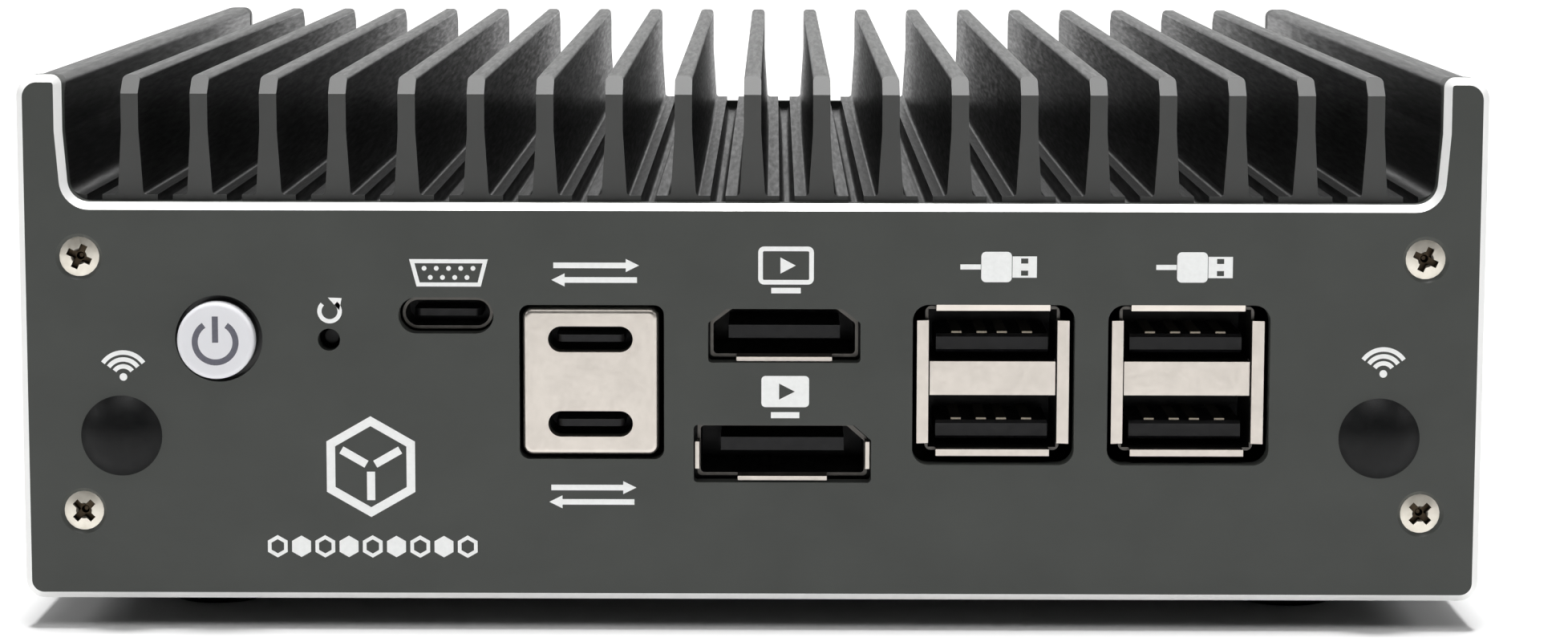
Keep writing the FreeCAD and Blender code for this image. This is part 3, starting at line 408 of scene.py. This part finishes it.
def rounded(x0, x1, z0, z1, radius, steps=5):
    spots = ((x1 - radius, z1 - radius, 0), (x0 + radius, z1 - radius, 90),
             (x0 + radius, z0 + radius, 180), (x1 - radius, z0 + radius, 270))
    loop = []
    for x, z, turn in spots:
        loop += arc(x, z, radius, turn, turn + 90, steps)
    return loop


def polygon(x, z, radius, sides, turn=0.0):
    return [(x + radius * math.cos(2 * math.pi * i / sides + turn),
             z + radius * math.sin(2 * math.pi * i / sides + turn)) for i in range(sides)]


INK = 0.03 * MM


def printed(name, groups, y, facing):
    """Flat ink on a plate. Each group is one shape: its loops, the inner ones being holes."""
    meshes = []
    for loops in groups:
        curve = bpy.data.curves.new(name, "CURVE")
        curve.dimensions = "2D"
        curve.fill_mode = "BOTH"
        curve.extrude = INK / 2
        for loop in loops:
            spline = curve.splines.new("POLY")
            spline.points.add(len(loop) - 1)
            spline.use_cyclic_u = True
            for point, (x, z) in zip(spline.points, loop):
                point.co = (x * MM * facing, z * MM, 0, 1)
        holder = bpy.data.objects.new(name, curve)
        bpy.context.scene.collection.objects.link(holder)
        meshes.append(bpy.data.meshes.new_from_object(holder))
        bpy.data.objects.remove(holder)
    joined = bmesh.new()
    for mesh in meshes:
        joined.from_mesh(mesh)
    bmesh.ops.remove_doubles(joined, verts=joined.verts, dist=1e-7)
    stand = Matrix.Rotation(math.pi / 2, 4, "X")
    if facing < 0:
        stand = Matrix.Rotation(math.pi, 4, "Z") @ stand
    stand = Matrix.Translation((0, y, 0)) @ stand
    bmesh.ops.transform(joined, matrix=stand, verts=joined.verts)
    result = bpy.data.meshes.new(name)
    joined.to_mesh(result)
    joined.free()
    result.materials.append(print_ink.material)
    piece = bpy.data.objects.new(name, result)
    bpy.context.scene.collection.objects.link(piece)
    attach(piece, "base")
    return piece


FRONT_INK, REAR_INK = FACE_Y - INK / 2, REAR_Y + INK / 2


def wireless(x, z):
    shapes = [disc(x, z, 0.38, 16)]
    for radius in (1.05, 1.74, 2.43):
        shapes.append(stroke(arc(x, z, radius, 35, 145), 0.44))
    return shapes


def arrow(x0, x1, z, head, width):
    way = 1 if x1 > x0 else -1
    return [[(x0, z - width / 2), (x0, z + width / 2), (x1 - way * head, z + width / 2),
             (x1 - way * head, z + head * 0.5), (x1, z), (x1 - way * head, z - head * 0.5),
             (x1 - way * head, z - width / 2)]]


def exchange(x, z):
    """Two opposite arrows: a data port."""
    return [arrow(x - 4.1, x + 4.3, z + 0.72, 1.3, 0.56),
            arrow(x + 4.1, x - 4.3, z - 0.72, 1.3, 0.56)]


def serial_mark(x, z):
    outline = [(x - 3.6, z + 1.15), (x + 3.6, z + 1.15), (x + 3.0, z - 1.15), (x - 3.0, z - 1.15)]
    shapes = [stroke(outline, 0.4, True)]
    shapes += [disc(x + 1.2 * (i - 2), z + 0.45, 0.24, 12) for i in range(5)]
    shapes += [disc(x + 1.2 * (i - 1.5), z - 0.45, 0.24, 12) for i in range(4)]
    return shapes


def screen_mark(x, z):
    frame_loop = rounded(x - 2.5, x + 2.5, z - 1.2, z + 2.1, 0.35)
    play = [(x - 0.55, z - 0.35), (x - 0.55, z + 1.25), (x + 0.95, z + 0.45)]
    foot = [(x - 1.45, z - 2.3), (x - 1.45, z - 1.75), (x + 1.45, z - 1.75), (x + 1.45, z - 2.3)]
    return [stroke(frame_loop, 0.46, True), [play], [foot]]


def solid_screen_mark(x, z):
    body = rounded(x - 2.35, x + 2.35, z - 1.0, z + 2.1, 0.4)
    play = [(x - 0.6, z - 0.25), (x - 0.6, z + 1.35), (x + 0.95, z + 0.55)]
    foot = [(x - 1.4, z - 2.1), (x - 1.4, z - 1.5), (x + 1.4, z - 1.5), (x + 1.4, z - 2.1)]
    return [[body, play], [foot]]


def plug_mark(x, z):
    tail = [(x - 3.75, z - 0.25), (x - 3.75, z + 0.25), (x - 1.75, z + 0.25), (x - 1.75, z - 0.25)]
    body = rounded(x - 1.7, x + 1.3, z - 1.5, z + 1.5, 0.45)
    tip = [(x + 1.36, z - 1.05), (x + 1.36, z + 1.05), (x + 3.75, z + 1.05), (x + 3.75, z - 1.05)]
    holes = [[(x + 2.2, z + s * 0.6 - 0.25), (x + 2.2, z + s * 0.6 + 0.25),
              (x + 2.9, z + s * 0.6 + 0.25), (x + 2.9, z + s * 0.6 - 0.25)] for s in (-1, 1)]
    return [[tail], [body], [tip] + holes]


def reset_mark(x, z):
    """A ring open at the top, with its arrow head at the upper right."""
    ring = stroke(arc(x, z, 1.0, 135, 412), 0.42)
    head = [(x - 0.15, z + 1.35), (x + 1.2, z + 1.3), (x + 0.95, z + 0.1)]
    return [ring, [head]]


def cube_emblem(x, z):
    """A plain cube seen corner-on: outline and three edges."""
    shapes = [stroke(polygon(x, z, 4.55, 6, math.pi / 2), 0.85, True)]
    for turn in (90, 210, 330):
        t = math.radians(turn + 180)
        start, stop = 0.5, 3.35
        line = [(x + start * math.cos(t), z + start * math.sin(t)),
                (x + stop * math.cos(t), z + stop * math.sin(t))]
        shapes.append(stroke(line, 0.8))
    return shapes


def hexagon_row(x, z, count, pitch, radius):
    shapes = []
    for i in range(count):
        solid = i % 2
        size = radius if solid else radius - 0.16
        loop = polygon(x + pitch * (i - (count - 1) / 2), z, size, 6, math.pi / 2)
        shapes.append([loop] if solid else stroke(loop, 0.36, True))
    return shapes


def network_mark(x, z):
    boxes = [[[(x + dx - 0.55, z + dz - 0.45), (x + dx - 0.55, z + dz + 0.45),
               (x + dx + 0.55, z + dz + 0.45), (x + dx + 0.55, z + dz - 0.45)]]
             for dx, dz in ((0, 0.95), (-1.3, -0.95), (1.3, -0.95))]
    lines = [stroke([(x, z + 0.48), (x, z)], 0.22), stroke([(x - 1.3, z), (x + 1.3, z)], 0.22)]
    lines += [stroke([(x + s * 1.19, z - 0.02), (x + s * 1.19, z - 0.5)], 0.22) for s in (-1, 1)]
    return boxes + lines


def dc_mark(x, z):
    shapes = [[[(x - 1.8, z + 0.2), (x - 1.8, z + 0.55), (x + 1.8, z + 0.55), (x + 1.8, z + 0.2)]]]
    for dx in (-1.35, 0, 1.35):
        shapes.append([[(x + dx - 0.4, z - 0.55), (x + dx - 0.4, z - 0.2),
                        (x + dx + 0.4, z - 0.2), (x + dx + 0.4, z - 0.55)]])
    return shapes


def middle(node):
    """x and z of the middle of a CAD node, in millimetres."""
    low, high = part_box(node)
    return ((low.x + high.x) / 2 / MM, (low.z + high.z) / 2 / MM)


for side, lift in (("left", 5.85), ("right", 6.45)):
    x, z = middle("antenna_plug_front_" + side)
    printed("print_wireless_" + side, wireless(x + 0.28, z + lift), FRONT_INK, 1)
    x, z = middle("usb_a_" + side + "_shell")
    printed("print_data_" + side, plug_mark(x + 0.4, z + 11.1), FRONT_INK, 1)
x, z = middle("serial_port_shell")
printed("print_serial", serial_mark(x + 0.3, 35.65), FRONT_INK, 1)
x, z = middle("usb_c_insulator")
printed("print_exchange_upper", exchange(x + 0.5, 35.7), FRONT_INK, 1)
printed("print_exchange_lower", exchange(x + 0.2, 13.6), FRONT_INK, 1)
x, z = middle("video_upper_shell")
printed("print_screen_upper", screen_mark(x + 0.15, 36.0), FRONT_INK, 1)
printed("print_screen_lower", solid_screen_mark(x + 0.1, 23.4), FRONT_INK, 1)
x, z = middle("reset_plunger")
printed("print_reset", reset_mark(x + 0.1, z + 2.83), FRONT_INK, 1)
printed("print_cube_emblem", cube_emblem(-37.6, 16.35), FRONT_INK, 1)
printed("print_hexagon_row", hexagon_row(-37.5, 8.35, 9, 2.35, 1.08), FRONT_INK, 1)
for number in range(1, 5):
    x, z = middle("lan_shell_%d" % number)
    printed("print_network_%d" % number, network_mark(x, 36.4), REAR_INK, -1)
x, z = middle("dc_jack_barrel")
printed("print_dc", dc_mark(x, 35.6), REAR_INK, -1)


# ---- floor, lights and sky ----------------------------------------------------------
FLOOR_REACH = 6.0
floor_corners = [(x * FLOOR_REACH, y * FLOOR_REACH, 0)
                 for x, y in ((-1, -1), (1, -1), (1, 1), (-1, 1))]
floor_mesh = bpy.data.meshes.new("floor")
floor_mesh.from_pydata(floor_corners, [], [(0, 1, 2, 3)])
floor = bpy.data.objects.new("floor", floor_mesh)
bpy.context.scene.collection.objects.link(floor)
floor_finish = Finish("floor_white", (0.90, 0.90, 0.90), 0.0, 0.7)
floor_finish.tint(floor_finish.noise(300.0), 0.01)
floor_mesh.materials.append(floor_finish.material)


def softbox(name, place, target, size, power):
    """Rectangular area light at place, turned to its target; metres and watts."""
    data = bpy.data.lights.new(name, "AREA")
    data.shape = "RECTANGLE"
    data.size, data.size_y = size
    data.energy = power
    light = bpy.data.objects.new(name, data)
    light.location = place
    aim = Vector(target) - Vector(place)
    light.rotation_euler = aim.to_track_quat("-Z", "Y").to_euler()
    bpy.context.scene.collection.objects.link(light)


softbox("backdrop", (0, 1.6, 0.5), (0, 0, 0.1), (3.2, 1.0), 8.0)
softbox("front_high", (0, -0.75, 1.25), (0, 0, 0.03), (1.3, 0.6), 3.85)
for side in (-1, 1):
    softbox("side", (side * 1.0, -0.15, 0.6), (0, 0, 0.02), (0.9, 0.4), 2.5)

KEY_STRENGTH, KEY_ANGLE = 3.8, 12
KEY_DIRECTION = (0.0, -0.03, -1.0)
SKY_STRENGTH = 0.07
key_data = bpy.data.lights.new("overhead", "SUN")
key_data.energy = KEY_STRENGTH
key_data.angle = math.radians(KEY_ANGLE)
key = bpy.data.objects.new("overhead", key_data)
key.rotation_euler = Vector(KEY_DIRECTION).to_track_quat("-Z", "Y").to_euler()
bpy.context.scene.collection.objects.link(key)

world = bpy.data.worlds.new("studio")
bpy.context.scene.world = world
world.use_nodes = True
background = world.node_tree.nodes["Background"]
background.inputs["Color"].default_value = (1, 1, 1, 1)
background.inputs["Strength"].default_value = SKY_STRENGTH
bpy.context.scene.view_settings.view_transform = "Standard"
